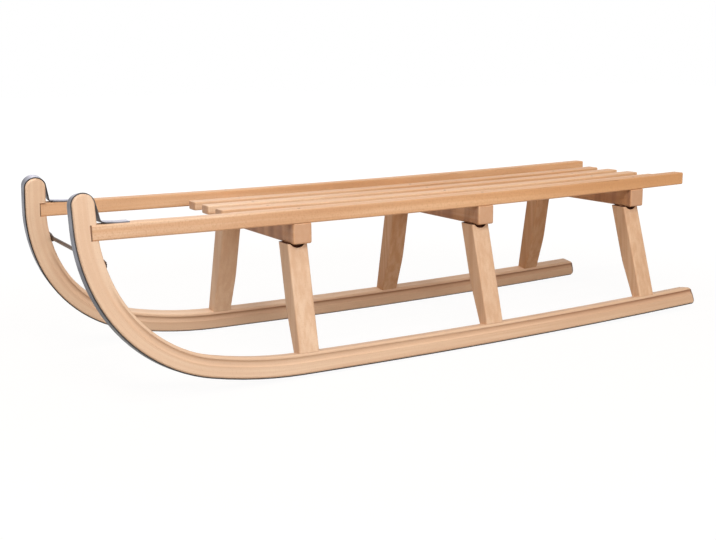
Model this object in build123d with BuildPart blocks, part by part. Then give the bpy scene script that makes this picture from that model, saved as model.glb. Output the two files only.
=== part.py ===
from build123d import *
import os
from math import acos, asin, atan2, cos, degrees, hypot, radians, sin, sqrt, tan

# A three-yoke wooden sled: two steam-bent runners with steel shoes, three yokes of a beam on two
# splayed legs, two rails let into the horns, four slats and a steel tie rod between the horns.
# Millimetres. +X is forward, +Y is the sled's left, +Z is up and z = 0 is the snow.

# The whole sled
overall_length = 1156.0
rail_center_y = 135.0
runner_lean = radians(8.5)     # the runners lean inwards at the top
horn_inset = 1.0               # of the horns' middle, in from the rails' middle at the rails' height
horn_front = overall_length / 2
runner_rear = -overall_length / 2

# Runner, drawn in its own leaning plane; heights there are measured along the lean
runner_width = 24.0
runner_height = 31.0           # wood alone, square to the bend
shoe_thickness = 1.8
shoe_width = 17.0
rocker_radius = 17600.0        # the long, nearly straight stretch on the snow
rocker_low_x = -52.0
bend_radii = (705.0, 225.0, 252.0)      # of the shoe's outer face, from the snow up to the horn
bend_angles = (radians(13.0), radians(67.5), radians(90.0))   # slope where each radius ends
horn_straight = 30.0           # straight stretch from the bend's end to the horn's round top
runner_edge_round = 3.0
nose_radius = 7.0              # of the shoe round the rear end's lower corner
nose_top_run = 8.0             # of the wood's upper corner, ahead of the shoe's rearmost point
nose_strip_rise = 8.0          # straight stretch of the shoe up the rear end
nose_top_round = 13.0
groove_radius = 6.1            # of the cutter that grooves both sides under the top edge
groove_depth = 2.6
groove_drop = 9.3              # of the groove's middle, below the runner's upper face
groove_end_height = 214.0      # where it runs out, up the horn

# Seat
rail_width = 24.0
rail_height = 21.4
rail_setback = 23.3            # of the rail's front end, let into the horn's rear edge
rail_length = 1120.0
rail_front_x = horn_front - rail_setback
rail_rear_x = rail_front_x - rail_length
rail_end_round = 5.0
rail_edge_round = 2.0
notch_gap = 0.5                # in front of the rail's end
seat_low = 228.4               # underside of the rails at their lowest point
seat_radius = 34500.0          # the slight hollow of the seat along the sled
seat_low_x = 84.0
slat_count = 4
slat_width = 28.0
slat_height = 13.6
slat_front_setback = 233.5     # from the rail's front end
slat_rear_setback = 33.0       # from the rail's rear end
slat_front_x = rail_front_x - slat_front_setback
slat_rear_x = rail_rear_x + slat_rear_setback
slat_end_round = 7.0
slat_edge_round = 1.8

# Yokes
beam_names = ("front", "middle", "rear")
front_beam_setback = 318.0     # from the rail's front end
rear_beam_setback = 118.0      # from the rail's rear end
beam_spacing = (rail_length - front_beam_setback - rear_beam_setback) / 2
middle_beam_x = rail_front_x - front_beam_setback - beam_spacing
beam_depth = 31.5              # along the sled
beam_height = 31.0
beam_edge_round = 3.0
beam_top_round = 1.5
beam_end_round = 3.5
leg_depth = 33.5               # along the sled
leg_top_thickness = 32.0
leg_foot_thickness = 21.5
leg_advance = 3.6              # of the legs' tops, ahead of the beam's middle
leg_foot_offset = 0.7          # foot's middle, out from the runner's middle
leg_slope = tan(radians(13.8))          # of the leg's outer face
leg_taper_share = 0.6          # how far down the leg its inner face starts to taper
leg_taper_round = 180.0
leg_edge_round = 2.6
upright_share = 0.7            # edges steeper than this across the sled are the leg's long ones
foot_spread = 7.4              # how much further apart the feet stand than the beams
foot_setback = 0.6             # of the middle feet, behind their beam
scoop_radius = 15.0            # the hollow that frees the leg's outer face from the beam
scoop_drop = 6.6
scoop_depth = 5.0
tenon_thickness = 11.0
tenon_depth = 20.0
upper_tenon_length = 18.0
lower_tenon_length = 17.0

# Tie rod
rod_radius = 3.0
rod_height = 199.0             # up the lean, where the rod's ends sit on the horns
rod_plate_thickness = 2.4
rod_plate_width = 12.0
rod_plate_length = 20.0
rod_plate_inset = 1.5          # of the flat end, in from the horn's inner face
rod_end_round = 5.0
rod_neck_length = 10.0         # from the flat end to the full round

# Shoe's tail, which leaves the horn's round top, bends and lies on the rail
tail_slope = radians(11.0)     # of the tail behind the horn, back from straight down
tail_bend_radius = 4.5
tongue_lift = 1.3              # under the strip where its bend ends
tongue_lift_run = 20.0         # which it takes to come down on the rail
tongue_length = 37.0
bend_section_shares = (0.0, 0.3, 0.65, 1.0)

fit_gap = 0.1                  # glue line round a tenon
overrun = 5.0                  # cuts run past the surfaces they cut

os.makedirs("parts", exist_ok=True)


def save(part, name):
    part.label = name
    export_step(part, f"parts/{name}.step")


def save_pair(left, name):
    """A left piece and its mirror image on the right."""
    save(left, f"{name}_left")
    with BuildPart() as right:
        mirror(left, about=Plane.XZ)
    save(right.part, f"{name}_right")


# The runner's plane
lean_sin, lean_cos = sin(runner_lean), cos(runner_lean)
plane_low = shoe_width / 2 * lean_sin          # the shoe's inner edge touches the snow
rail_middle_z = seat_low + rail_height / 2
ground_y = rail_center_y - horn_inset + (rail_middle_z - plane_low) * tan(runner_lean)
runner_plane = Plane(
    origin=(0, ground_y, plane_low), x_dir=(1, 0, 0), z_dir=(0, -lean_cos, -lean_sin)
)
foot_s = shoe_thickness + runner_height        # the runner's upper face

# Centres of the four tangent arcs of the shoe's outer face, in the runner's plane
radii = (rocker_radius,) + bend_radii
first_x = horn_front - radii[3]
first_x -= (radii[2] - radii[3]) * sin(bend_angles[1])
first_x -= (radii[1] - radii[2]) * sin(bend_angles[0])
angles = (asin((first_x - rocker_low_x) / (radii[0] - radii[1])),) + bend_angles
centers = [(rocker_low_x, rocker_radius)]
for outer, inner, angle in zip(radii, radii[1:], angles):
    x, s = centers[-1]
    centers.append((x + (outer - inner) * sin(angle), s - (outer - inner) * cos(angle)))
bend_end_s = centers[3][1]
horn_radius = runner_height / 2
horn_center = (horn_front - shoe_thickness - horn_radius, bend_end_s + horn_straight)

# Rear end: the shoe turns up round a small arc, and the wood's end slants forward above it
nose_x = runner_rear + nose_radius
nose_s = rocker_radius - sqrt((rocker_radius - nose_radius) ** 2 - (nose_x - rocker_low_x) ** 2)
nose_start = asin((nose_x - rocker_low_x) / (rocker_radius - nose_radius))
wood_nose_radius = nose_radius - shoe_thickness
nose_top_x = runner_rear + nose_top_run
nose_top_s = rocker_radius - sqrt((rocker_radius - foot_s) ** 2 - (nose_top_x - rocker_low_x) ** 2)
nose_reach = hypot(nose_top_x - nose_x, nose_top_s - nose_s)
nose_end = atan2(nose_top_s - nose_s, nose_top_x - nose_x) + acos(wood_nose_radius / nose_reach)


def on_bend(depth, arc, angle):
    """Point at a depth inside the shoe's outer face, at a slope angle, on one of the four arcs."""
    x, s = centers[arc]
    return (x + (radii[arc] - depth) * sin(angle), s - (radii[arc] - depth) * cos(angle))


def bend_arcs(depth, start, end=radians(90.0)):
    """The chain of tangent arcs at a depth, inside a BuildLine, between two slope angles."""
    for arc, (first, last) in enumerate(zip((start,) + angles[:3], angles)):
        stop = min(last, end)
        if stop > first:
            turn = degrees(stop - first)
            CenterArc(centers[arc], radii[arc] - depth, degrees(first) - 90, turn)


def nose_arc(depth):
    """The arc round the rear end's lower corner, inside a BuildLine."""
    turn = 270 + degrees(nose_start) - degrees(nose_end)
    CenterArc((nose_x, nose_s), nose_radius - depth, degrees(nose_end), turn)


def nose_point(depth, rise=0.0):
    """Point where the nose's arc ends, or a rise further up the slanted rear end."""
    r = nose_radius - depth
    x, s = nose_x + r * cos(nose_end), nose_s + r * sin(nose_end)
    return (x + rise * sin(nose_end), s - rise * cos(nose_end))


def slope_at(depth, x):
    """Slope angle of the rocker's curve at a depth."""
    return asin((x - rocker_low_x) / (rocker_radius - depth))


def runner_world(s, out=0.0):
    """Y and Z of a point in the runner's plane: s up the lean, out from its middle."""
    return (ground_y - s * lean_sin + out * lean_cos, plane_low + s * lean_cos + out * lean_sin)


def seat_z(x, rise=0.0):
    """Height of the seat's underside at x, or of a curve a rise above it."""
    r = seat_radius - rise
    return seat_low + seat_radius - sqrt(r**2 - (x - seat_low_x) ** 2)


def seat_arc(x0, x1, rise=0.0):
    """An arc of the seat's curve, inside a BuildLine on Plane.XZ."""
    middle = (x0 + x1) / 2
    points = [(x, seat_z(x, rise)) for x in (x0, middle, x1)]
    ThreePointArc(*points)


def seat_band(x0, x1, rise0, rise1):
    """Closed outline between two curves of the seat, inside a BuildLine on Plane.XZ."""
    seat_arc(x0, x1, rise0)
    seat_arc(x0, x1, rise1)
    for x in (x0, x1):
        Line((x, seat_z(x, rise0)), (x, seat_z(x, rise1)))


def horn_sides(front_depth, rear_depth):
    """The horn's two straight edges, inside a BuildLine."""
    for depth in (front_depth, rear_depth):
        Line((horn_front - depth, bend_end_s), (horn_front - depth, horn_center[1]))


def runner_outline():
    """Closed outline of the runner's wood: the bend, the round top and the slanted rear end."""
    nose_arc(shoe_thickness)
    bend_arcs(shoe_thickness, nose_start)
    bend_arcs(foot_s, slope_at(foot_s, nose_top_x))
    Line(nose_point(shoe_thickness), (nose_top_x, nose_top_s))
    horn_sides(shoe_thickness, foot_s)
    CenterArc(horn_center, horn_radius, 0, 180)


def beam_x(index):
    return middle_beam_x + (1 - index) * beam_spacing


def leg_top_x(index):
    return beam_x(index) + leg_advance


def foot_x(index):
    return middle_beam_x - foot_setback + (1 - index) * (beam_spacing + foot_spread)


def beam_under(index):
    return seat_z(beam_x(index)) - beam_height


def foot_height(index):
    """Height, along the lean, of the runner's upper face under a leg."""
    return rocker_radius - sqrt((rocker_radius - foot_s) ** 2 - (foot_x(index) - rocker_low_x) ** 2)


def leg_profile(index):
    """Outline of a left leg without tenons, as Y and Z, from the foot up the outer face."""
    foot = foot_height(index) - overrun
    outer_foot = runner_world(foot, leg_foot_offset + leg_foot_thickness / 2)
    inner_foot = runner_world(foot, leg_foot_offset - leg_foot_thickness / 2)
    top_z = beam_under(index)
    outer_top_y = outer_foot[0] - (top_z - outer_foot[1]) * leg_slope
    inner_top_y = outer_top_y - leg_top_thickness
    taper_drop = leg_taper_share * (top_z - outer_foot[1])
    return [
        outer_foot,
        (outer_top_y, top_z),
        (inner_top_y, top_z),
        (inner_top_y + taper_drop * leg_slope, top_z - taper_drop),
        inner_foot,
    ]


def tenon_middle(index):
    outer_top, inner_top = leg_profile(index)[1:3]
    return (outer_top[0] + inner_top[0]) / 2


def upper_tenon(index, gap=0.0):
    """The tenon that enters the beam, or its mortise with a gap round it."""
    root = 0.0 if gap else overrun
    with BuildPart() as tenon:
        with BuildSketch(Plane.XY.offset(beam_under(index) - root)):
            with Locations((leg_top_x(index), tenon_middle(index))):
                Rectangle(tenon_depth + 2 * gap, tenon_thickness + 2 * gap)
        extrude(amount=root + upper_tenon_length + gap)
    return tenon.part


def lower_tenon(index, gap=0.0):
    """The tenon that enters the runner, or its mortise with a gap round it."""
    y, z = runner_world(foot_height(index), leg_foot_offset)
    plane = Plane(origin=(foot_x(index), y, z), x_dir=(1, 0, 0), z_dir=(0, lean_sin, -lean_cos))
    with BuildPart() as tenon:
        with BuildSketch(plane.offset(-overrun)):
            Rectangle(tenon_depth + 2 * gap, tenon_thickness + 2 * gap)
        extrude(amount=overrun + lower_tenon_length + gap)
    return tenon.part


# Runner, left
groove_line = foot_s - groove_drop
groove_start = slope_at(groove_line, runner_rear - overrun)
groove_end = radians(90.0) + asin((groove_end_height - bend_end_s) / (radii[3] - groove_line))
with BuildPart() as runner_left:
    with BuildSketch(runner_plane.offset(-runner_width / 2)) as side_face:
        with BuildLine():
            runner_outline()
        make_face()
        top_corner = side_face.vertices().sort_by_distance((nose_top_x, nose_top_s))[0]
        fillet(top_corner, nose_top_round)
    extrude(amount=runner_width)
    sides = runner_left.faces().filter_by(Axis((0, 0, 0), runner_plane.z_dir))
    fillet(sides.edges(), runner_edge_round)
    for side in (-1, 1):
        groove_plane = runner_plane.offset(side * (runner_width / 2 + groove_radius - groove_depth))
        with BuildLine(groove_plane) as groove:
            bend_arcs(groove_line, groove_start, groove_end)
        groove_path = groove.wire()
        with BuildSketch(Plane(origin=groove_path @ 0, z_dir=groove_path % 0)):
            Circle(groove_radius)
        sweep(path=groove_path, mode=Mode.SUBTRACT)
        with Locations(groove_path @ 1):
            Sphere(groove_radius, mode=Mode.SUBTRACT)
    for index in range(len(beam_names)):
        add(lower_tenon(index, fit_gap), mode=Mode.SUBTRACT)
    with BuildSketch(Plane.XZ.offset(-rail_center_y - rail_width)):
        with BuildLine():
            seat_band(rail_front_x - runner_height, rail_front_x + notch_gap, 0.0, rail_height)
        make_face()
    extrude(amount=2 * rail_width, mode=Mode.SUBTRACT)
save_pair(runner_left.part, "runner")

# Legs, left: a tapered profile, tilted along the sled, cut to the beam above and the runner below
with BuildPart() as runner_space:
    with BuildSketch(runner_plane.offset(-2 * runner_width)):
        with BuildLine():
            for depth in (foot_s, 0.0):
                bend_arcs(depth, nose_start, angles[1])
            for arc, angle in ((0, nose_start), (1, angles[1])):
                Line(on_bend(foot_s, arc, angle), on_bend(0.0, arc, angle))
        make_face()
    extrude(amount=4 * runner_width)

for index, place in enumerate(beam_names):
    under = beam_under(index)
    profile = leg_profile(index)
    tilt = atan2(foot_x(index) - leg_top_x(index), under - profile[0][1])
    leg_plane = Plane(
        origin=(leg_top_x(index), 0, under), x_dir=(0, 1, 0), z_dir=(cos(tilt), 0, sin(tilt))
    )
    flat = [(y, (z - under) / cos(tilt)) for y, z in profile]
    with BuildPart() as leg_left:
        with BuildSketch(leg_plane) as leg_face:
            with BuildLine():
                Polyline(*flat, close=True)
            make_face()
            fillet(leg_face.vertices().sort_by_distance(flat[3])[0], leg_taper_round)
        extrude(amount=leg_depth / 2, both=True)
        ends = leg_left.faces().filter_by(Axis((0, 0, 0), leg_plane.z_dir))
        upright = ends.edges().filter_by(lambda edge: abs((edge % 0).Y) < upright_share)
        fillet(upright, leg_edge_round)
        split(bisect_by=Plane.XY.offset(under), keep=Keep.BOTTOM)
        add(runner_space.part, mode=Mode.SUBTRACT)
        with BuildSketch(Plane.XZ.offset(scoop_depth - profile[1][0])):
            with Locations((leg_top_x(index), under + scoop_radius - scoop_drop)):
                Circle(scoop_radius)
        extrude(amount=-2 * leg_top_thickness, mode=Mode.SUBTRACT)
        add(upper_tenon(index))
        add(lower_tenon(index))
    save_pair(leg_left.part, f"leg_{place}")

# Steel shoe, left: up the rear end, under the runner, up the front and over the horn
tail_angle = radians(180.0) - tail_slope
shoe_middle = shoe_thickness / 2
rail_top_front = seat_z(rail_front_x, rail_height)
tail_start = [
    (horn_center[0] + (horn_radius + rise) * cos(tail_angle),
     horn_center[1] + (horn_radius + rise) * sin(tail_angle))
    for rise in (0.0, shoe_thickness)
]
middle_start = [(low + high) / 2 for low, high in zip(*tail_start)]
bend_drop = tail_bend_radius * (1 - sin(tail_slope)) * lean_cos
bend_top_z = rail_top_front + tongue_lift + shoe_middle + bend_drop
tail_run = (middle_start[1] - (bend_top_z - plane_low) / lean_cos) / cos(tail_slope)
tail_step = (-tail_run * sin(tail_slope), -tail_run * cos(tail_slope))
tail_end = [(x + tail_step[0], s + tail_step[1]) for x, s in tail_start]
with BuildPart() as shoe_left:
    with BuildSketch(runner_plane.offset(-shoe_width / 2)):
        with BuildLine():
            for depth in (0.0, shoe_thickness):
                nose_arc(depth)
                bend_arcs(depth, nose_start)
                Line(nose_point(depth), nose_point(depth, nose_strip_rise))
                CenterArc(horn_center, horn_radius + shoe_thickness - depth, 0, degrees(tail_angle))
            Line(nose_point(0.0, nose_strip_rise), nose_point(shoe_thickness, nose_strip_rise))
            horn_sides(0.0, shoe_thickness)
            for start, end in zip(tail_start, tail_end):
                Line(start, end)
            Line(*tail_end)
        make_face()
    extrude(amount=shoe_width)

    # the bend, which also turns the strip level
    back, down = Vector(-1, 0, 0), Vector(0, lean_sin, -lean_cos)
    bend_x, bend_s = [m + step for m, step in zip(middle_start, tail_step)]
    bend_start = Vector(bend_x, *runner_world(bend_s))
    across, level = Vector(0, lean_cos, lean_sin), Vector(0, 1, 0)
    normal_start = back * cos(tail_slope) - down * sin(tail_slope)
    for share in bend_section_shares:
        turn = tail_slope + share * (radians(90.0) - tail_slope)
        normal = back * cos(turn) - down * sin(turn)
        travel = back * sin(turn) + down * cos(turn)
        section = bend_start + (normal_start - normal) * tail_bend_radius
        width_dir = across * (1 - share) + level * share
        with BuildSketch(Plane(origin=section, x_dir=width_dir, z_dir=travel)):
            Rectangle(shoe_width, shoe_thickness)
    loft()

    # the tongue, which comes down on the rail
    land_x = section.X - tongue_lift_run
    tongue_end_x = section.X - tongue_length
    with BuildSketch(Plane.XZ.offset(-section.Y - shoe_width / 2)):
        with BuildLine():
            for rise in (0.0, shoe_thickness):
                start = (section.X, section.Z + rise - shoe_middle)
                Line(start, (land_x, seat_z(land_x, rail_height + rise)))
                seat_arc(land_x, tongue_end_x, rail_height + rise)
            tongue_end = [seat_z(tongue_end_x, rail_height + rise) for rise in (0.0, shoe_thickness)]
            for x, (low, high) in (
                (section.X, (section.Z - shoe_middle, section.Z + shoe_middle)),
                (tongue_end_x, tongue_end),
            ):
                Line((x, low), (x, high))
        make_face()
    extrude(amount=shoe_width)
save_pair(shoe_left.part, "runner_shoe")


def seat_member(x0, x1, y0, width, height, end_round, edge_round):
    """A rail or slat: the seat's curve in profile, with rounded corners and long edges."""
    with BuildPart() as member:
        with BuildSketch(Plane.XZ.offset(-y0)):
            with BuildLine():
                seat_band(x0, x1, 0.0, height)
            make_face()
        extrude(amount=-width)
        ends = member.edges().filter_by(Axis.Z).group_by(Axis.X)
        rounded = ends[0] + ends[-1] if x1 < rail_front_x else ends[0]
        fillet(rounded, end_round)
        for face in (member.faces().sort_by(Axis.Z)[0], member.faces().sort_by(Axis.Z)[-1]):
            fillet(face.edges(), edge_round)
    return member.part


# Rails and slats
rail_left = seat_member(
    rail_rear_x, rail_front_x, rail_center_y - rail_width / 2, rail_width, rail_height,
    rail_end_round, rail_edge_round,
)
save_pair(rail_left, "rail")

seat_inside = 2 * rail_center_y - rail_width
slat_gap = (seat_inside - slat_count * slat_width) / (slat_count + 1)
for number in range(slat_count):
    y0 = -seat_inside / 2 + slat_gap + number * (slat_width + slat_gap)
    slat = seat_member(
        slat_rear_x, slat_front_x, y0, slat_width, slat_height, slat_end_round, slat_edge_round
    )
    save(slat, f"slat_{number + 1}")

# Cross beams
beam_half = rail_center_y + rail_width / 2
for index, place in enumerate(beam_names):
    x0, x1 = beam_x(index) - beam_depth / 2, beam_x(index) + beam_depth / 2
    under = beam_under(index)
    with BuildPart() as beam:
        with BuildSketch(Plane.XZ.offset(-beam_half)):
            with BuildLine():
                seat_arc(x0, x1)
                Polyline((x0, seat_z(x0)), (x0, under), (x1, under), (x1, seat_z(x1)))
            make_face()
        extrude(amount=2 * beam_half)
        fillet(beam.edges().filter_by(Axis.Z), beam_end_round)
        fillet(beam.faces().sort_by(Axis.Z)[0].edges(), beam_edge_round)
        fillet(beam.faces().sort_by(Axis.Z)[-1].edges(), beam_top_round)
        for tenon in (upper_tenon(index, fit_gap), mirror(upper_tenon(index, fit_gap), Plane.XZ)):
            add(tenon, mode=Mode.SUBTRACT)
    save(beam.part, f"beam_{place}")

# Tie rod: round between the horns, hammered flat where it is screwed to their rear faces
rod_slope = radians(90.0) + asin((rod_height - bend_end_s) / (radii[3] - foot_s))
rod_x, rod_s = on_bend(foot_s, 3, rod_slope)
plate_normal = Vector(-sin(rod_slope), -lean_sin * cos(rod_slope), lean_cos * cos(rod_slope))
plate_across = Vector(0, lean_cos, lean_sin)
plate_y, plate_z = runner_world(rod_s, -runner_width / 2 - rod_plate_inset)
horn_hollow = radii[3] - foot_s                # radius of the horn's rear face
plate_seat = horn_hollow - sqrt(horn_hollow**2 - (rod_plate_width / 2) ** 2) + fit_gap
plate_center = Vector(rod_x, plate_y, plate_z) + plate_normal * (plate_seat + rod_plate_thickness / 2)
plate_plane = Plane(origin=plate_center, x_dir=plate_normal, z_dir=plate_across)
neck_y = plate_center.Y - rod_neck_length
with BuildPart() as rod_end:
    with BuildSketch(plate_plane):
        Rectangle(rod_plate_thickness, rod_plate_width)
    extrude(amount=rod_plate_length)
    fillet(rod_end.edges().filter_by(Axis((0, 0, 0), plate_normal)).sort_by(Axis.Y)[-2:], rod_end_round)
with BuildPart() as rod_neck:
    with BuildSketch(plate_plane):
        Rectangle(rod_plate_thickness, rod_plate_width)
    with BuildSketch(Plane.XZ.offset(-neck_y)):
        with Locations((plate_center.X, plate_center.Z)):
            Circle(rod_radius)
    loft()
with BuildPart() as front_rod:
    with BuildSketch(Plane.XZ.offset(-neck_y)):
        with Locations((plate_center.X, plate_center.Z)):
            Circle(rod_radius)
    extrude(amount=2 * neck_y)
    for piece in (rod_end.part, rod_neck.part):
        add(piece)
        add(mirror(piece, Plane.XZ))
save(front_rod.part, "front_rod")
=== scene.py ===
from math import asin, atan2, cos, hypot, pi, radians, sin, sqrt, tan

import bmesh
import bpy
from mathutils import Matrix, Vector


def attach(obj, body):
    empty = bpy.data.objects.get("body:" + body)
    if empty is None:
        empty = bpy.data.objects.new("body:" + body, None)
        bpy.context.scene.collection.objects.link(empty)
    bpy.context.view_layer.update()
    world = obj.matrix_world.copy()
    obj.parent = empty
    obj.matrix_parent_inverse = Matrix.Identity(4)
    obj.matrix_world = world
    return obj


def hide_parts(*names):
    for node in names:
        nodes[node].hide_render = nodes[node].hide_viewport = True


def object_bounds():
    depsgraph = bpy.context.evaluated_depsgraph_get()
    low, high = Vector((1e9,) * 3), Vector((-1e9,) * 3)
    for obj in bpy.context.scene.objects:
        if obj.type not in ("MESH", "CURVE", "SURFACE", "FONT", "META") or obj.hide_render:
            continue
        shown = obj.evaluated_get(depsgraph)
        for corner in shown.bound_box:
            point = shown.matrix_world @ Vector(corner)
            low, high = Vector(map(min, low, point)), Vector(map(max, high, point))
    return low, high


# The wooden sled dressed for the photograph. Metres; +X is forward, +Y is the sled's left, +Z is up.

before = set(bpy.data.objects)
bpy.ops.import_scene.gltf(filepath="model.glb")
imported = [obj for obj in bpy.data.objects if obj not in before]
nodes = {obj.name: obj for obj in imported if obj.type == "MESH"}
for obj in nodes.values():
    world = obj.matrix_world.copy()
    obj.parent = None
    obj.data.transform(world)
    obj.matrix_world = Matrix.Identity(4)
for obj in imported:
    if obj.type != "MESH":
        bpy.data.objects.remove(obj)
cad_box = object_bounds()

# Camera, fitted to the photograph
camera_place = (0.9523, 1.5196, 0.4693)
camera_heading = radians(-120.554)     # of the view, from +X towards +Y
camera_pitch = radians(-11.398)
camera_roll = radians(-0.453)
focal_length = 52.81                   # millimetres on a sensor 36 wide
sensor_width = 36.0

# Studio: place, size and power of each soft panel, aimed at the seat, and the light from all sides
lamps = {
    "key_panel": ((0.95, 1.9, 2.1), 1.2, 47.0),
    "side_panel": ((-0.4, 2.5, 0.9), 1.4, 17.0),
    "back_panel": ((-0.1, -1.9, 2.2), 1.4, 12.0),
    "top_panel": ((1.0, 0.4, 2.3), 0.4, 13.0),
}
lamp_target = (0.0, 0.0, 0.14)
world_light = 0.31
world_warm = (1.0, 0.87, 0.76)
white = (1.0, 1.0, 1.0)
floor_size = 24.0
floor_matte = (0.46, 0.39, 0.32)       # of the light that the floor sends back to the sled
floor_white = 1.08                     # strength of the white that the camera sees
floor_near, floor_far = 0.7, 2.2       # between these distances it turns from nearly to all white
floor_near_share = 0.88

# Beech: colours at the front and at the rear of the sled, which the photograph shows warmer
# The rear colours are also darker, partly as painted shade for the light falling off towards the rear
beech_pale = ((0.83, 0.59, 0.405), (0.78, 0.49, 0.285))
beech_mid = ((0.71, 0.44, 0.265), (0.66, 0.355, 0.175))
beech_deep = (0.50, 0.245, 0.11)
beech_amber = (0.68, 0.345, 0.14)      # of the rails' warmest stretches
painted_light_color = (0.96, 0.73, 0.54)        # painted light, laid over far-side wood that gets too little light
dull_color = (0.70, 0.575, 0.455)      # of the greyer wood
fleck_color = (0.36, 0.17, 0.08)
end_color = (0.60, 0.365, 0.235)
tail_shade_color = (0.17, 0.105, 0.075)      # painted shade on the runners' rear end grain and on the rims where their side faces end
hollow_shade_color = (0.075, 0.018, 0.006)   # painted shade in the hollows above the legs and in the rails' joint lines
# Painted shade in the runners' grooves
groove_shade_color = (0.31, 0.115, 0.045)
shadow_band_color = (0.27, 0.115, 0.07)       # painted shadows of the slats, in soft stripes across the beams' fronts
tone_front_x, tone_rear_x = 0.35, -0.50

# Patterns: repeats in a metre along the grain and both ways across it, detail and roughness of the
# noise, and the two values between which the tone changes
patterns = {
    "drift": ((2.6, 22.0, 22.0), 3.0, 0.55, 0.42, 0.72),
    "ring": ((1.6, 150.0, 105.0), 3.0, 0.60, 0.40, 0.60),
    "fibre": ((26.0, 1500.0, 1500.0), 2.0, 0.60, 0.35, 0.72),
    "cross": ((420.0, 260.0, 260.0), 2.5, 0.70, 0.50, 0.72),
    "bands": ((48.0, 4.0, 4.0), 1.5, 0.50, 0.40, 0.62),
    "pores": ((60.0, 1300.0, 1300.0), 1.0, 0.50, 0.35, 0.65),
    "stain": ((38.0, 60.0, 38.0), 4.0, 0.60, 0.42, 0.72),
    "shoe_lines": ((30.0, 2600.0, 600.0), 2.0, 0.60, 0.40, 0.70),
    "rod_lines": ((2600.0, 30.0, 2600.0), 2.0, 0.60, 0.40, 0.70),
    "head_lines": ((900.0, 900.0, 900.0), 2.0, 0.60, 0.40, 0.70),
}
drift_share, fibre_share, pore_share = 0.46, 0.12, 0.40
band_least, band_most = 0.12, 0.62
seed_shift = (1.37, 0.619, 0.377)      # moves the patterns from one piece to the next
rail_seed, slat_seed, runner_seed, beam_seed, leg_seed = 1, 4, 9, 11, 21       # of each kind's first
fleck_repeats = (300.0, 1500.0, 1500.0)
fleck_edge = (0.18, 0.34)              # distances from a fleck's middle
fleck_chance = (0.55, 0.60)            # so that only some cells hold a fleck
fleck_share = 0.45
wood_bump, wood_bump_depth = 0.18, 0.0004
fibre_rise, fleck_drop = 0.6, 0.5      # in the bump's height
rough_noise, wood_roughness = (0.6, 1.4), (0.44, 0.58)         # the noise's range and what it gives
wood_coat, wood_coat_roughness, wood_specular = 0.06, 0.40, 0.32

# Steel
steel_color = (0.215, 0.22, 0.255)
steel_dark = (0.09, 0.09, 0.10)
steel_under_shade = (0.035, 0.03, 0.03)      # painted shade where it faces down
steel_edge_shade = (0.05, 0.045, 0.045)      # painted shade on the strip's cut edges
steel_top_highlight = (0.42, 0.41, 0.47)         # painted highlight where it faces up
rod_color = (0.15, 0.115, 0.095)
screw_color = (0.24, 0.21, 0.18)
seat_screw_color = (0.36, 0.22, 0.13)
rust_color = (0.055, 0.028, 0.018)
stain_share, line_share = 0.60, 0.25
steel_bump, steel_bump_depth = 0.12, 0.0002
stain_noise = (0.3, 0.7)               # which gives these two values of roughness
steel_roughness, seat_screw_roughness, rust_roughness = (0.34, 0.50), (0.55, 0.70), (0.50, 0.70)

# Seat, with the sizes of the part's source
horn_front = cad_box[1][0]
rail_center_y, rail_width, rail_height, rail_length = 0.135, 0.024, 0.0214, 1.120
rail_setback = 0.0233                  # of the rail's front end, let into the horn
rail_front_x = horn_front - rail_setback
seat_low, seat_radius, seat_low_x = 0.2284, 34.5, 0.084        # of the rails' undersides
slat_count, slat_width, slat_height, slat_end_round = 4, 0.028, 0.0136, 0.007
slat_front_setback, slat_rear_setback = 0.2335, 0.033          # from the rail's ends
slat_front_x = rail_front_x - slat_front_setback
slat_rear_x = rail_front_x - rail_length + slat_rear_setback
slat_extra = 0.022                     # the slats reach this much further back than the solids
slat_end_share = 0.45                  # of the solids' end rounding that is left along the sled
front_beam_setback, beam_spacing = 0.318, 0.342                # from the rail's front end
beam_places = {
    place: rail_front_x - front_beam_setback - number * beam_spacing
    for number, place in enumerate(("front", "middle", "rear"))
}

# A runner's own plane, which leans in at the top: s is the height up it, and across the distance
# from it, positive outwards
runner_lean = radians(8.5)
runner_half_width, runner_height = 0.012, 0.031
shoe_thickness, shoe_half_width = 0.0018, 0.0085
wood_depth = shoe_thickness + runner_height        # of the upper face, from the shoe's outer face
horn_inset = 0.001                     # of the horns' middles, in from the rails' middles
plane_low = shoe_half_width * sin(runner_lean)
ground_y = rail_center_y - horn_inset + (seat_low + rail_height / 2 - plane_low) * tan(runner_lean)

# The bend: four tangent arcs of the shoe's outer face, from the snow up to the horn. The first one's
# end is worked back from the horn's front
bend_radii = (17.6, 0.705, 0.225, 0.252)
rocker_low_x = -0.052
later_ends = (radians(13.0), radians(67.5), radians(90.0))     # slopes where the later arcs end
rocker_reach = horn_front - bend_radii[3] - rocker_low_x
for radius, following, end in zip(bend_radii[1:], bend_radii[2:], later_ends):
    rocker_reach -= (radius - following) * sin(end)
bend_ends = (asin(rocker_reach / (bend_radii[0] - bend_radii[1])),) + later_ends
bend_centers = [(rocker_low_x, bend_radii[0])]
for radius, following, end in zip(bend_radii, bend_radii[1:], bend_ends):
    center_x, center_s = bend_centers[-1]
    bend_centers.append((center_x + (radius - following) * sin(end),
                         center_s - (radius - following) * cos(end)))
horn_low = bend_centers[3][1]

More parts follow.
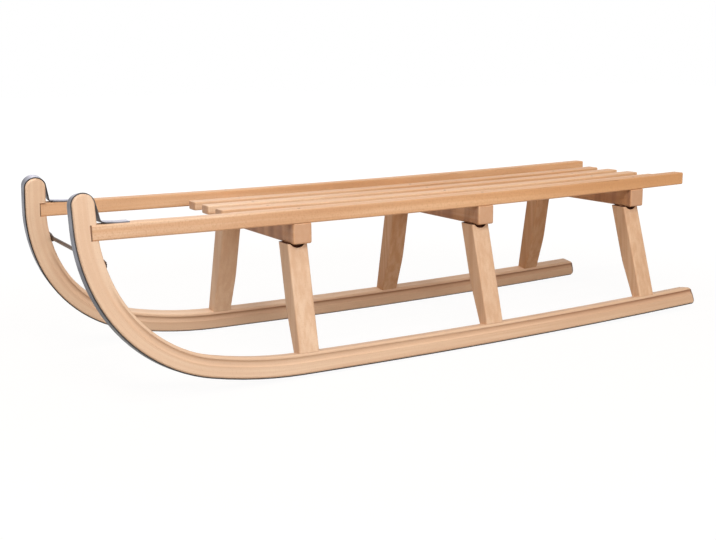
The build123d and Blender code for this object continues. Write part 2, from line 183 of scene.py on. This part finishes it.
# The runners' grooves, a hair larger than the solid's own, so that the cut leaves nothing of it
groove_drop = 0.0093                   # of a groove's middle, below the runner's upper face
groove_depth_place = wood_depth - groove_drop
groove_radius, groove_cut = 0.00616, 0.00266
groove_middle = runner_half_width + groove_radius - groove_cut
groove_half = sqrt(groove_radius**2 - (groove_radius - groove_cut) ** 2)
groove_rear_x, groove_top = -0.60, 0.208           # the cutters reach from behind the end to this height
groove_steps, groove_sides = (24, 16, 36, 14), 48  # of the cutters, along each arc and round the bar
fade_start, fade_end = 0.130, 0.200    # the grooves run out between these heights
groove_wall = 0.0007                   # distance into it over which the groove's painted shade sets in
groove_shade = (-0.0015, 0.003, 0.3, 1.0)          # two places across it, and the share at each
outer_groove_tone = (0.0, -0.50, 0.06, 0.75)       # two places along the sled, and the share of painted shade at each
inner_groove_tone = (0.36, 0.12, 0.30, 0.75)

# Places of smaller things
tail_line_x, tail_slope = -0.5752, 0.245           # where a runner's side face ends, by the depth
tail_rim = (0.0014, 0.0004)            # distances from that line between which the rim's painted shade sets in
joint_line = (0.0016, 0.0008)          # the same for the painted shade of a rail's joint line, from the rail's front end
joint_share, end_share, rim_share, hollow_share = 0.85, 0.80, 0.75, 0.97
hollow_low = 0.17                      # the hollows above the legs are higher than this
tail_bend_x, tail_bend_run = 0.532, 0.003          # the strip bends on to the rail; no painted edge shade behind
rod_round_half = 0.1167                # of the rod, before its flat ends
rod_rust_run = 0.012
rod_up, rod_plate = 0.199, 0.0026      # the rod's flat ends: place up the lean, and thickness
tongue_screw_x, tongue_thickness = 0.5235, 0.0019
shoe_screws = (                        # arc of the bend and angle on it
    (0, -0.0295), (0, -0.0165), (0, -0.003), (0, 0.0105), (1, radians(9.0)), (2, radians(40.0)),
)

# Facings, as parts of a surface's normal, at which a tone sets in
end_facing, tail_facing, beam_front_facing = (0.80, 0.95), (0.15, 0.75), (0.6, 0.9)
hollow_floor_facing, hollow_wall_facing, hollow_wall_side = 0.993, 0.45, 0.05
strip_up_facing, strip_down_facing, strip_edge_facing = (0.55, 0.90), (-0.15, -0.55), (0.70, 0.85)

# Screw heads: a low dome with a cross recess, whose sizes are shares of the radius
head_segments, head_rings, head_sunk = 32, 7, 0.0004
screw_radius, screw_rise, tongue_screw_rise = 0.0033, 0.0003, 0.0006
seat_screw_radius, rod_screw_radius, rod_screw_rise = 0.0026, 0.0046, 0.0028
recess_half_width, recess_reach, recess_depth = 0.16, 0.62, 0.35

# Tolerances of the cut runners' vertices and of what counts as a flat side face
same_place, weld_distance, place_digits, flat_facing = 0.0001, 0.000001, 5, 0.9999


class Tree:
    """Builds the nodes of a material or of the world with short calls."""

    def __init__(self, owner):
        owner.use_nodes = True
        self.owner = owner
        self.nodes, self.links = owner.node_tree.nodes, owner.node_tree.links
        self.nodes.clear()

    def add(self, kind, inputs=None, **settings):
        node = self.nodes.new("ShaderNode" + kind)
        for key, value in settings.items():
            setattr(node, key, value)
        for key, value in (inputs or {}).items():
            if isinstance(value, bpy.types.NodeSocket):
                self.links.new(value, node.inputs[key])
            else:
                node.inputs[key].default_value = value
        return node

    def math(self, operation, a, b=0.0, c=0.0):
        return self.add("Math", {0: a, 1: b, 2: c}, operation=operation).outputs[0]

    def vector(self, operation, a, b):
        return self.add("VectorMath", {0: a, 1: b}, operation=operation).outputs[0]

    def parts(self, vector):
        return self.add("SeparateXYZ", {0: vector}).outputs[:3]

    def join(self, x, y, z):
        return self.add("CombineXYZ", {0: x, 1: y, 2: z}).outputs[0]

    def spread(self, value, low, high, to_low=0.0, to_high=1.0):
        return self.add("MapRange", {0: value, 1: low, 2: high, 3: to_low, 4: to_high}).outputs[0]

    def blend(self, share, a, b):
        """Colour a with a share of colour b laid over it."""
        shades = [shade if isinstance(shade, bpy.types.NodeSocket) else shade + (1.0,) for shade in (a, b)]
        return self.add("Mix", {0: share, 6: shades[0], 7: shades[1]}, data_type="RGBA").outputs[2]

    def pattern(self, place, name):
        """A pattern's noise at a place."""
        repeats, detail, roughness = patterns[name][:3]
        inputs = {
            "Vector": self.vector("MULTIPLY", place, repeats), "Scale": 1.0,
            "Detail": detail, "Roughness": roughness,
        }
        return self.add("TexNoise", inputs).outputs["Fac"]

    def tone(self, noise, name, most=1.0, least=0.0):
        """The share of another colour that a pattern's noise gives."""
        return self.spread(noise, *patterns[name][3:], least, most)

    def in_view(self):
        """1 for what the camera sees, directly or in metal and glass, and 0 for the light."""
        path = self.add("LightPath").outputs
        either = self.math("MAXIMUM", path["Is Camera Ray"], path["Is Glossy Ray"])
        return self.math("MAXIMUM", either, path["Is Transmission Ray"])

    def finish(self, shader, output="OutputMaterial"):
        self.links.new(shader, self.add(output).inputs["Surface"])
        return self.owner


def bent_grain(tree, x, y, z):
    """Length along the runner's bend, place across it and depth from its outer face."""
    out_y = tree.math("SUBTRACT", tree.math("ABSOLUTE", y), ground_y)
    up = tree.math("SUBTRACT", z, plane_low)
    s = tree.math("SUBTRACT", tree.math("MULTIPLY", up, cos(runner_lean)),
                  tree.math("MULTIPLY", out_y, sin(runner_lean)))
    across = tree.math("ADD", tree.math("MULTIPLY", out_y, cos(runner_lean)),
                       tree.math("MULTIPLY", up, sin(runner_lean)))
    lengths, depths, steps = [], [], []
    base, start = 0.0, 0.0
    for radius, (center_x, center_s), end in zip(bend_radii, bend_centers, bend_ends):
        dx, ds = tree.math("SUBTRACT", x, center_x), tree.math("SUBTRACT", center_s, s)
        angle = tree.math("ARCTAN2", dx, ds)
        reach = tree.math("SQRT", tree.math("ADD", tree.math("MULTIPLY", dx, dx),
                                            tree.math("MULTIPLY", ds, ds)))
        lengths.append(tree.math("MULTIPLY_ADD", angle, radius, base - radius * start))
        depths.append(tree.math("SUBTRACT", radius, reach))
        steps.append(tree.math("GREATER_THAN", angle, end))
        base, start = base + radius * (end - start), end
    lengths.append(tree.math("ADD", s, base - horn_low))
    depths.append(tree.math("SUBTRACT", horn_front, x))
    values = []
    for table in (lengths, depths):
        value = table[0]
        for step, following in zip(steps, table[1:]):
            value = tree.math("MULTIPLY_ADD", tree.math("SUBTRACT", following, value), step, value)
        values.append(value)
    return tree.join(values[0], across, values[1])


def planed(tree, place, x, speckle, amber):
    """The colour of planed beech, with its fibre, slow drift and short dark rays."""
    drift, ring, fibre, cross = (tree.pattern(place, name) for name in ("drift", "ring", "fibre", "cross"))
    cells = tree.add("TexVoronoi", {"Vector": tree.vector("MULTIPLY", place, fleck_repeats), "Scale": 1.0})
    chance = tree.add("SeparateColor", {0: cells.outputs["Color"]}).outputs[0]
    fleck = tree.math("MULTIPLY", tree.spread(cells.outputs["Distance"], *fleck_edge, 1.0, 0.0),
                      tree.spread(chance, *fleck_chance))
    # Darker and warmer towards the rear; the darkening is partly painted shade of the light's falloff
    toward_rear = tree.spread(x, tone_front_x, tone_rear_x)
    pale, mid = tree.blend(toward_rear, *beech_pale), tree.blend(toward_rear, *beech_mid)
    if amber:
        warmth = tree.spread(toward_rear, 0.0, 1.0, *amber)
        pale, mid = (tree.blend(warmth, shade, beech_amber) for shade in (pale, mid))
    color = tree.blend(tree.tone(ring, "ring"), mid, pale)
    color = tree.blend(tree.tone(drift, "drift", drift_share), color, beech_deep)
    color = tree.blend(tree.tone(fibre, "fibre", fibre_share), color, beech_deep)
    color = tree.blend(tree.tone(cross, "cross", speckle), color, beech_deep)
    color = tree.blend(tree.math("MULTIPLY", fleck, fleck_share), color, fleck_color)
    return color, fibre, drift, fleck


def groove_shade_share(tree, bend, x, z):
    """Share of painted shade in the grooves: most in their upper halves, and set along the sled apart for
    the outer and the inner faces.
    """
    _, across, depth = tree.parts(bend)
    inside = tree.spread(tree.math("ABSOLUTE", across), runner_half_width, runner_half_width - groove_wall)
    off = tree.math("ABSOLUTE", tree.math("SUBTRACT", depth, groove_depth_place))
    inside = tree.math("MULTIPLY", inside, tree.math("LESS_THAN", off, groove_half))
    inside = tree.math("MULTIPLY", inside, tree.spread(z, fade_start, fade_end, 1.0, 0.0))
    low, high, low_share, high_share = groove_shade
    upper = tree.spread(depth, groove_depth_place + low, groove_depth_place + high, low_share, high_share)
    outer, inner = tree.spread(x, *outer_groove_tone), tree.spread(x, *inner_groove_tone)
    is_outer = tree.math("GREATER_THAN", across, 0.0)
    along = tree.math("MULTIPLY_ADD", tree.math("SUBTRACT", outer, inner), is_outer, inner)
    return tree.math("MULTIPLY", tree.math("MULTIPLY", inside, upper), along)


def end_grain(tree, place, base):
    """A colour with the pores of end grain."""
    return tree.blend(tree.tone(tree.pattern(place, "pores"), "pores", pore_share), base, beech_deep)


def sawn_ends(tree, color, place, facing, grain):
    """A straight piece's colour, with end grain where it is cut across."""
    along = tree.math("ABSOLUTE", facing["xyz".index(grain)])
    end = tree.spread(along, *end_facing, 0.0, end_share)
    return tree.blend(end, color, end_grain(tree, place, end_color))


def dark_tail(tree, color, bend, place, facing, x):
    """A runner's colour, with painted shade on its rear end grain and on the rim where the side faces end.
    """
    behind = tree.math("MULTIPLY", tree.math("MULTIPLY", facing[0], -1.0),
                       tree.math("LESS_THAN", x, slat_rear_x))
    end = tree.spread(behind, *tail_facing, 0.0, end_share)
    color = tree.blend(end, color, end_grain(tree, place, tail_shade_color))
    rear_line = tree.math("MULTIPLY_ADD", tree.parts(bend)[2], tail_slope, tail_line_x)
    rim = tree.spread(tree.math("SUBTRACT", x, rear_line), *tail_rim, 0.0, rim_share)
    rim = tree.math("MULTIPLY", rim, tree.math("LESS_THAN", x, slat_rear_x))
    return tree.blend(rim, color, tail_shade_color)


def slat_shadow_bands(tree, color, place, facing):
    """A beam's colour, with painted shadows of the slats in soft stripes on its front."""
    bands = tree.tone(tree.pattern(place, "bands"), "bands", band_most, band_least)
    in_front = tree.spread(facing[0], *beam_front_facing)
    return tree.blend(tree.math("MULTIPLY", bands, in_front), color, shadow_band_color)


def in_hollow(tree, facing, z):
    """1 in the deep hollow between the top of a leg and the beam, which gets painted shade."""
    side_facing = tree.math("ABSOLUTE", facing[1])
    floor_part = tree.math("GREATER_THAN", side_facing, hollow_floor_facing)
    wall_part = tree.math("MULTIPLY", tree.math("GREATER_THAN", facing[2], hollow_wall_facing),
                          tree.math("LESS_THAN", side_facing, hollow_wall_side))
    hollow = tree.math("MAXIMUM", floor_part, wall_part)
    return tree.math("MULTIPLY", hollow, tree.math("GREATER_THAN", z, hollow_low))


def beech(name, seed, grain, speckle, deeper=0.0, dull=0.0, painted_light=0.0, amber=None, joint=False):
    """Lacquered beech, with the grain along x, y, z or the runner's bend.

    deeper, dull and paler are shares of those colours, amber its shares at the front and at the rear,
    and joint marks a rail, which ends in a line of painted shade at its horn. The third share is painted
    light on far-side pieces that get too little light, and deeper carries painted shade under the seat.
    """
    tree = Tree(bpy.data.materials.new(name))
    coordinates = tree.add("TexCoord").outputs
    x, y, z = tree.parts(coordinates["Object"])
    facing = tree.parts(coordinates["Normal"])
    if grain == "bend":
        place = bend = bent_grain(tree, x, y, z)
    else:
        place = {"x": tree.join(x, y, z), "y": tree.join(y, x, z), "z": tree.join(z, y, x)}[grain]
    shift = (seed * seed_shift[0], seed * seed_shift[1] % 1.0, seed * seed_shift[2] % 1.0)
    place = tree.vector("ADD", place, shift)
    color, fibre, drift, fleck = planed(tree, place, x, speckle, amber)
    # The third pair lays painted light over the wood; deeper also lays painted shade on pieces under the
    # seat
    for share, shade in ((deeper, beech_deep), (dull, dull_color), (painted_light, painted_light_color)):
        if share:
            color = tree.blend(share, color, shade)
    if joint:
        # Painted shade in the gap where the rail's end meets the horn
        line = tree.spread(x, *(rail_front_x - run for run in joint_line), 0.0, joint_share)
        color = tree.blend(line, color, hollow_shade_color)
    if grain == "bend":
        # Painted shade in the grooves
        color = tree.blend(groove_shade_share(tree, bend, x, z), color, groove_shade_color)
        # Painted shade on the rear end grain and on the rim of the side faces
        color = dark_tail(tree, color, bend, place, facing, x)
    else:
        color = sawn_ends(tree, color, place, facing, grain)
    # Painted shadows of the slats on a beam's front
    if grain == "y":
        color = slat_shadow_bands(tree, color, place, facing)
    roughness = tree.spread(tree.math("ADD", fibre, drift), *rough_noise, *wood_roughness)
    if grain == "z":
        # Painted shade in the hollow above a leg, which is also made fully rough
        hollow = in_hollow(tree, facing, z)
        color = tree.blend(tree.math("MULTIPLY", hollow, hollow_share), color, hollow_shade_color)
        roughness = tree.math("MAXIMUM", roughness, hollow)
    height = tree.math("MULTIPLY_ADD", fibre, fibre_rise, tree.math("MULTIPLY", fleck, -fleck_drop))
    bump = tree.add("Bump", {"Height": height, "Strength": wood_bump, "Distance": wood_bump_depth})
    shader = tree.add("BsdfPrincipled", {
        "Base Color": color, "Roughness": roughness, "Normal": bump.outputs[0], "Coat Weight": wood_coat,
        "Coat Roughness": wood_coat_roughness, "Specular IOR Level": wood_specular,
    })
    return tree.finish(shader.outputs[0])


def strip_tone(tree, color, place, facing):
    """A shoe's colour: painted highlight where it faces up, painted shade where it faces down and along
    its cut edges, but not on its tongue.
    """
    color = tree.blend(tree.spread(facing[2], *strip_up_facing), color, steel_top_highlight)
    color = tree.blend(tree.spread(facing[2], *strip_down_facing), color, steel_under_shade)
    x, _, z = tree.parts(place)
    # The cut edges' painted shade, kept off the tongue
    edge_shade_reach = tree.math("MAXIMUM", tree.math("LESS_THAN", z, seat_low),
                      tree.spread(x, tail_bend_x, tail_bend_x + tail_bend_run))
    edge = tree.spread(tree.math("ABSOLUTE", facing[1]), *strip_edge_facing)
    return tree.blend(tree.math("MULTIPLY", edge, edge_shade_reach), color, steel_edge_shade)


def steel(name, color, lines, rough=steel_roughness, strip=False, rusty_ends=False):
    """Dull rolled steel, with fine drawn lines and slight stains."""
    tree = Tree(bpy.data.materials.new(name))
    coordinates = tree.add("TexCoord").outputs
    place = coordinates["Object"]
    drawn, stain = tree.pattern(place, lines), tree.pattern(place, "stain")
    shade = tree.blend(tree.tone(stain, "stain", stain_share), color, steel_dark)
    shade = tree.blend(tree.tone(drawn, lines, line_share), shade, steel_dark)
    # Painted highlight and shade on the shoes
    if strip:
        shade = strip_tone(tree, shade, place, tree.parts(coordinates["Normal"]))
    if rusty_ends:
        far_out = tree.math("ABSOLUTE", tree.parts(place)[1])
        shade = tree.blend(tree.spread(far_out, rod_round_half - rod_rust_run, rod_round_half),
                           shade, rust_color)
    bump = tree.add("Bump", {"Height": drawn, "Strength": steel_bump, "Distance": steel_bump_depth})
    shader = tree.add("BsdfPrincipled", {
        "Base Color": shade, "Metallic": 1.0, "Normal": bump.outputs[0],
        "Roughness": tree.spread(stain, *stain_noise, *rough),
    })
    return tree.finish(shader.outputs[0])


def dress(mesh, material):
    mesh.materials.clear()
    mesh.materials.append(material)


def seat_z(x, rise=0.0):
    """Height of the seat's underside at x, or of a curve a rise above it."""
    return seat_low + seat_radius - sqrt((seat_radius - rise) ** 2 - (x - seat_low_x) ** 2)


def link(name, data):
    piece = bpy.data.objects.new(name, data)
    bpy.context.scene.collection.objects.link(piece)
    return piece


def longer_slat(node, material):
    """The slat with crisper ends, and its rear end moved back along the seat's curve."""
    mesh = nodes[node].data.copy()
    dress(mesh, material)
    for vertex in mesh.vertices:
        x = vertex.co.x
        moved = x
        if x > slat_front_x - slat_end_round:
            moved = slat_front_x - (slat_front_x - x) * slat_end_share
        elif x < slat_rear_x + slat_end_round:
            moved = slat_rear_x - slat_extra + (x - slat_rear_x) * slat_end_share
        vertex.co.z += seat_z(moved) - seat_z(x)
        vertex.co.x = moved
    piece = link(f"dressed_{node}", mesh)
    piece.matrix_world = nodes[node].matrix_world.copy()
    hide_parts(node)
    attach(piece, "root")


def on_bend(angle, arc, depth=0.0):
    """Point in the runner's plane on the bend, and the outward normal there."""
    center_x, center_s = bend_centers[arc]
    radius = bend_radii[arc] - depth
    return (center_x + radius * sin(angle), center_s - radius * cos(angle)), (sin(angle), -cos(angle))


def in_world(x, s, across, side):
    return (x, side * (ground_y - s * sin(runner_lean) + across * cos(runner_lean)),
            plane_low + s * cos(runner_lean) + across * sin(runner_lean))


def facing_world(nx, ns, side):
    return (nx, side * -ns * sin(runner_lean), ns * cos(runner_lean))


def bend_depth(x, s):
    """Depth of a point of the runner's plane under the shoe's outer face, and the outward direction."""
    for radius, (center_x, center_s), end in zip(bend_radii, bend_centers, bend_ends):
        angle = atan2(x - center_x, center_s - s)
        if angle <= end:
            return radius - hypot(x - center_x, center_s - s), (sin(angle), -cos(angle))
    return horn_front - x, (1.0, 0.0)


def groove_cutters(side):
    """Two round bars along a runner's faces, which cut both its grooves."""
    start = asin((groove_rear_x - rocker_low_x) / bend_radii[0])
    top = radians(90.0) + asin((groove_top - horn_low) / (bend_radii[3] - groove_depth_place))
    stations = []
    for arc, (end, steps) in enumerate(zip(bend_ends[:3] + (top,), groove_steps)):
        for step in range(steps):
            stations.append(on_bend(start + (end - start) * step / steps, arc, groove_depth_place))
        start = end
    stations.append(on_bend(top, 3, groove_depth_place))
    mesh = bmesh.new()
    for way in (1, -1):
        rings = []
        for (x, s), (nx, ns) in stations:
            ring = []
            for number in range(groove_sides):
                turn = 2 * pi * number / groove_sides
                across = way * (groove_middle - groove_radius * cos(turn))
                out = groove_radius * sin(turn)
                ring.append(mesh.verts.new(in_world(x + nx * out, s + ns * out, across, side)))
            rings.append(ring)
        for ring, following in zip(rings, rings[1:]):
            for number in range(groove_sides):
                other = (number + 1) % groove_sides
                mesh.faces.new((ring[number], ring[other], following[other], following[number]))
        mesh.faces.new(rings[0])
        mesh.faces.new(rings[-1])
    bmesh.ops.recalc_face_normals(mesh, faces=mesh.faces)
    data = bpy.data.meshes.new("cutters")
    mesh.to_mesh(data)
    mesh.free()
    return link("cutters", data)


def in_runner(point, side):
    """A point's height up the runner's plane, place across it and depth, with the outward direction."""
    x, y, z = point
    out_y, up = side * y - ground_y, z - plane_low
    s = up * cos(runner_lean) - out_y * sin(runner_lean)
    across = out_y * cos(runner_lean) + up * sin(runner_lean)
    return s, across, *bend_depth(x, s)


def fade(s):
    """How far a groove has run out at a height, from 0 to 1."""
    return max(0.0, min(1.0, (s - fade_start) / (fade_end - fade_start)))


def grooved(mesh, side):
    """The runner's mesh, welded, with both grooves cut."""
    work = bmesh.new()
    work.from_mesh(mesh)
    bmesh.ops.remove_doubles(work, verts=work.verts, dist=weld_distance)
    base = bpy.data.meshes.new("base")
    work.to_mesh(base)
    work.free()
    holder, cutters = link("holder", base), groove_cutters(side)
    cut = holder.modifiers.new("grooves", "BOOLEAN")
    cut.operation, cut.solver, cut.object = "DIFFERENCE", "EXACT", cutters
    result = bpy.data.meshes.new_from_object(holder.evaluated_get(bpy.context.evaluated_depsgraph_get()))
    for item in (holder, cutters):
        bpy.data.objects.remove(item)
    return result


def place_key(vertex):
    """A vertex's place, rounded, to find it by."""
    return tuple(round(value, place_digits) for value in vertex.co)


def own_normals(solid):
    """The solid's own normals, by place, for the faces that the cut leaves alone."""
    known = {}
    for loop, corner in zip(solid.loops, solid.corner_normals):
        known.setdefault(place_key(solid.vertices[loop.vertex_index]), []).append(corner.vector.copy())
    return known


def run_out(mesh, side, sideways):
    """Brings the grooves' walls out to the side faces where they run out up the horn.

    Gives the round wall's true normal at each groove vertex, the vertices on the grooves' rims, and
    how far the groove has run out at the vertices where it does.
    """
    hollows, rims, fades = {}, set(), {}
    for vertex in mesh.vertices:
        s, across, depth, (outward_x, outward_s) = in_runner(vertex.co, side)
        if abs(depth - groove_depth_place) > groove_half + same_place:
            continue
        way = 1 if across > 0 else -1
        inward = Vector(facing_world(-outward_x, -outward_s, side))
        normal = sideways * (groove_middle * way - across) + inward * (groove_depth_place - depth)
        hollows[vertex.index] = normal.normalized()
        if abs(across) > runner_half_width - same_place / 2:
            rims.add(vertex.index)
            fades[vertex.index] = fade(s)
        elif s > fade_start and abs(across) > runner_half_width - groove_cut - same_place:
            share = fade(s)
            share = share * share * (3 - 2 * share)
            vertex.co += sideways * ((runner_half_width * way - across) * share)
            fades[vertex.index] = share
    return hollows, rims, fades


def smooth_runner(node, material):
    """The runner with both its grooves, evenly lit, which run out softly up the horn."""
    side = 1 if node.endswith("left") else -1
    sideways = Vector((0, side * cos(runner_lean), sin(runner_lean)))
    solid = nodes[node].data
    known = own_normals(solid)
    mesh = grooved(solid, side)
    dress(mesh, material)
    keys = [place_key(vertex) for vertex in mesh.vertices]
    hollows, rims, fades = run_out(mesh, side, sideways)
    normals = []
    for face in mesh.polygons:
        corners = set(face.vertices)
        in_groove = corners <= hollows.keys() and not corners <= rims
        flat = sideways if face.normal.dot(sideways) > 0 else -sideways
        for index in face.loop_indices:
            number = mesh.loops[index].vertex_index
            if in_groove:
                normals.append(hollows[number].lerp(flat, fades.get(number, 0.0)).normalized())
            elif face.normal.dot(flat) > flat_facing or keys[number] not in known:
                normals.append(face.normal.copy())
            else:
                normals.append(max(known[keys[number]], key=face.normal.dot))
        face.use_smooth = True
    mesh.normals_split_custom_set(normals)
    piece = link(f"dressed_{node}", mesh)
    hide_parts(node)
    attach(piece, "root")


def screw_head(name, place, normal, material, radius=screw_radius, rise=screw_rise):
    """A screw head on a surface, facing along its outward normal."""
    turn = Vector(normal).to_track_quat("Z", "Y").to_matrix()
    center = Vector(place)
    arm, reach, drop = recess_half_width * radius, recess_reach * radius, recess_depth * radius
    mesh = bmesh.new()
    rows = []
    for ring in range(1, head_rings + 1):
        share = ring / head_rings
        row = []
        for step in range(head_segments):
            angle = 2 * pi * step / head_segments
            x, y = radius * share * cos(angle), radius * share * sin(angle)
            z = rise * (1 - share**2)
            if (abs(x) < arm and abs(y) < reach) or (abs(y) < arm and abs(x) < reach):
                z -= drop
            row.append(mesh.verts.new(center + turn @ Vector((x, y, z))))
        rows.append(row)
    rows.append([mesh.verts.new(vertex.co - turn @ Vector((0, 0, head_sunk))) for vertex in rows[-1]])
    middle = mesh.verts.new(center + turn @ Vector((0, 0, rise - drop)))
    for step in range(head_segments):
        following = (step + 1) % head_segments
        mesh.faces.new((middle, rows[0][step], rows[0][following]))
        for inner, outer in zip(rows, rows[1:]):
            mesh.faces.new((inner[step], outer[step], outer[following], inner[following]))
    data = bpy.data.meshes.new(name)
    mesh.to_mesh(data)
    mesh.free()
    dress(data, material)
    piece = link(name, data)
    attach(piece, "root")


# Wood
rail_looks = {
    "rail_left": {"speckle": 0.45, "amber": (0.0, 0.8)},
    "rail_right": {"speckle": 0.20, "amber": (0.45, 0.4)},
}
for seed, (node, looks) in enumerate(rail_looks.items(), rail_seed):
    dress(nodes[node].data, beech(f"beech_{node}", seed, "x", joint=True, **looks))
for number in range(slat_count):
    node = f"slat_{number + 1}"
    longer_slat(node, beech(f"beech_{node}", slat_seed + number, "x", speckle=0.15))
# The far runner is made paler by painted light, where it gets too little light under the seat
runner_looks = {
    "runner_left": {"deeper": 0.04, "dull": 0.36},
    "runner_right": {"dull": 0.15, "painted_light": 0.30},
}
for seed, (node, looks) in enumerate(runner_looks.items(), runner_seed):
    smooth_runner(node, beech(f"beech_{node}", seed, "bend", speckle=0.12, **looks))
# Right legs, on the far side: painted light on the front one, and painted shade, heavier towards the rear,
# on the middle and rear ones under the seat
leg_looks = {
    "front": {"left": {"deeper": 0.12, "dull": 0.25}, "right": {"painted_light": 0.35}},
    "middle": {"left": {"deeper": 0.03, "dull": 0.25}, "right": {"deeper": 0.26}},
    "rear": {"left": {"deeper": 0.03, "dull": 0.25}, "right": {"deeper": 0.45}},
}
for number, (place, sides) in enumerate(leg_looks.items()):
    name = f"beam_{place}"
    # The beams' deeper share is painted shade, for their place under the seat
    dress(nodes[name].data, beech(f"beech_{name}", beam_seed + number, "y", speckle=0.15, deeper=0.22))
    for seed, (side, looks) in enumerate(sides.items(), leg_seed + number * len(sides)):
        name = f"leg_{place}_{side}"
        dress(nodes[name].data, beech(f"beech_{name}", seed, "z", speckle=0.10, **looks))

# Steel
for side in ("left", "right"):
    shoe_steel = steel(f"steel_shoe_{side}", steel_color, "shoe_lines", strip=True)
    dress(nodes[f"runner_shoe_{side}"].data, shoe_steel)
dress(nodes["front_rod"].data, steel("steel_rod", rod_color, "rod_lines", rusty_ends=True))
screw_steel = steel("steel_screw", screw_color, "head_lines")
seat_screw_steel = steel("steel_seat_screw", seat_screw_color, "head_lines", seat_screw_roughness)
rust_steel = steel("steel_rod_screw", rust_color, "head_lines", rust_roughness)

# Screws where the rails and slats cross the beams
seat_inside = 2 * rail_center_y - rail_width
slat_gap = (seat_inside - slat_count * slat_width) / (slat_count + 1)
seat_lines = [(-rail_center_y, rail_height), (rail_center_y, rail_height)]
for number in range(slat_count):
    y = -seat_inside / 2 + slat_gap + slat_width / 2 + number * (slat_width + slat_gap)
    seat_lines.append((y, slat_height))
for place, x in beam_places.items():
    slope = (x - seat_low_x) / seat_radius
    for number, (y, rise) in enumerate(seat_lines):
        screw_head(f"seat_screw_{place}_{number + 1}", (x, y, seat_z(x, rise)), (-slope, 0, 1),
                   seat_screw_steel, radius=seat_screw_radius)

# Screws of the shoes, of the rod's flat ends and of the shoes' tongues
for side_name, side in (("left", 1), ("right", -1)):
    for number, (arc, angle) in enumerate(shoe_screws):
        (x, s), (nx, ns) = on_bend(angle, arc)
        screw_head(f"shoe_screw_{side_name}_{number + 1}", in_world(x, s, 0.0, side),
                   facing_world(nx, ns, side), screw_steel)
    rod_slope = radians(90.0) + asin((rod_up - horn_low) / (bend_radii[3] - wood_depth))
    (x, s), (nx, ns) = on_bend(rod_slope, 3, wood_depth + rod_plate)
    screw_head(f"rod_screw_{side_name}", in_world(x, s, 0.0, side), facing_world(-nx, -ns, side),
               rust_steel, radius=rod_screw_radius, rise=rod_screw_rise)
    tongue_top = seat_z(tongue_screw_x, rail_height + tongue_thickness)
    screw_head(f"tongue_screw_{side_name}", (tongue_screw_x, side * rail_center_y, tongue_top),
               (0, 0, 1), screw_steel, rise=tongue_screw_rise)

# Floor, white to the camera, with the sled's shadow
mesh = bpy.data.meshes.new("floor")
half = floor_size / 2
floor_corners = [(-half, -half, 0), (half, -half, 0), (half, half, 0), (-half, half, 0)]
mesh.from_pydata(floor_corners, [], [(0, 1, 2, 3)])
floor = link("floor", mesh)
tree = Tree(bpy.data.materials.new("floor_white"))
place = tree.add("TexCoord").outputs["Object"]
away = tree.add("VectorMath", {0: place}, operation="LENGTH").outputs["Value"]
whiteness = tree.spread(away, floor_near, floor_far, floor_near_share, 1.0)
share = tree.math("MULTIPLY", tree.in_view(), whiteness)
matte = tree.add("BsdfDiffuse", {"Color": floor_matte + (1.0,)})
glow = tree.add("Emission", {"Color": white + (1.0,), "Strength": floor_white})
mixed = tree.add("MixShader", {0: share, 1: matte.outputs[0], 2: glow.outputs[0]})
dress(mesh, tree.finish(mixed.outputs[0]))

# World, white to the camera and dimmer and warmer as light
world = bpy.data.worlds.new("studio")
bpy.context.scene.world = world
tree = Tree(world)
dim = tree.add("Background", {"Color": world_warm + (1.0,), "Strength": world_light})
bright = tree.add("Background", {"Color": white + (1.0,), "Strength": 1.0})
mixed = tree.add("MixShader", {0: tree.in_view(), 1: dim.outputs[0], 2: bright.outputs[0]})
tree.finish(mixed.outputs[0], "OutputWorld")

# Lamps
for name, (place, size, power) in lamps.items():
    lamp = bpy.data.lights.new(name, "AREA")
    lamp.size = size
    lamp.energy = power
    lamp_object = link(name, lamp)
    lamp_object.location = place
    aim = Vector(lamp_target) - Vector(place)
    lamp_object.rotation_euler = aim.to_track_quat("-Z", "Y").to_euler()

# Camera
camera_data = bpy.data.cameras.new("camera")
camera_data.lens = focal_length
camera_data.sensor_width = sensor_width
camera = link("camera", camera_data)
camera.matrix_world = (
    Matrix.Translation(camera_place)
    @ Matrix.Rotation(camera_heading - radians(90.0), 4, "Z")
    @ Matrix.Rotation(radians(90.0) + camera_pitch, 4, "X")
    @ Matrix.Rotation(camera_roll, 4, "Z")
)
bpy.context.scene.camera = camera
bpy.context.scene.view_settings.view_transform = "Standard"
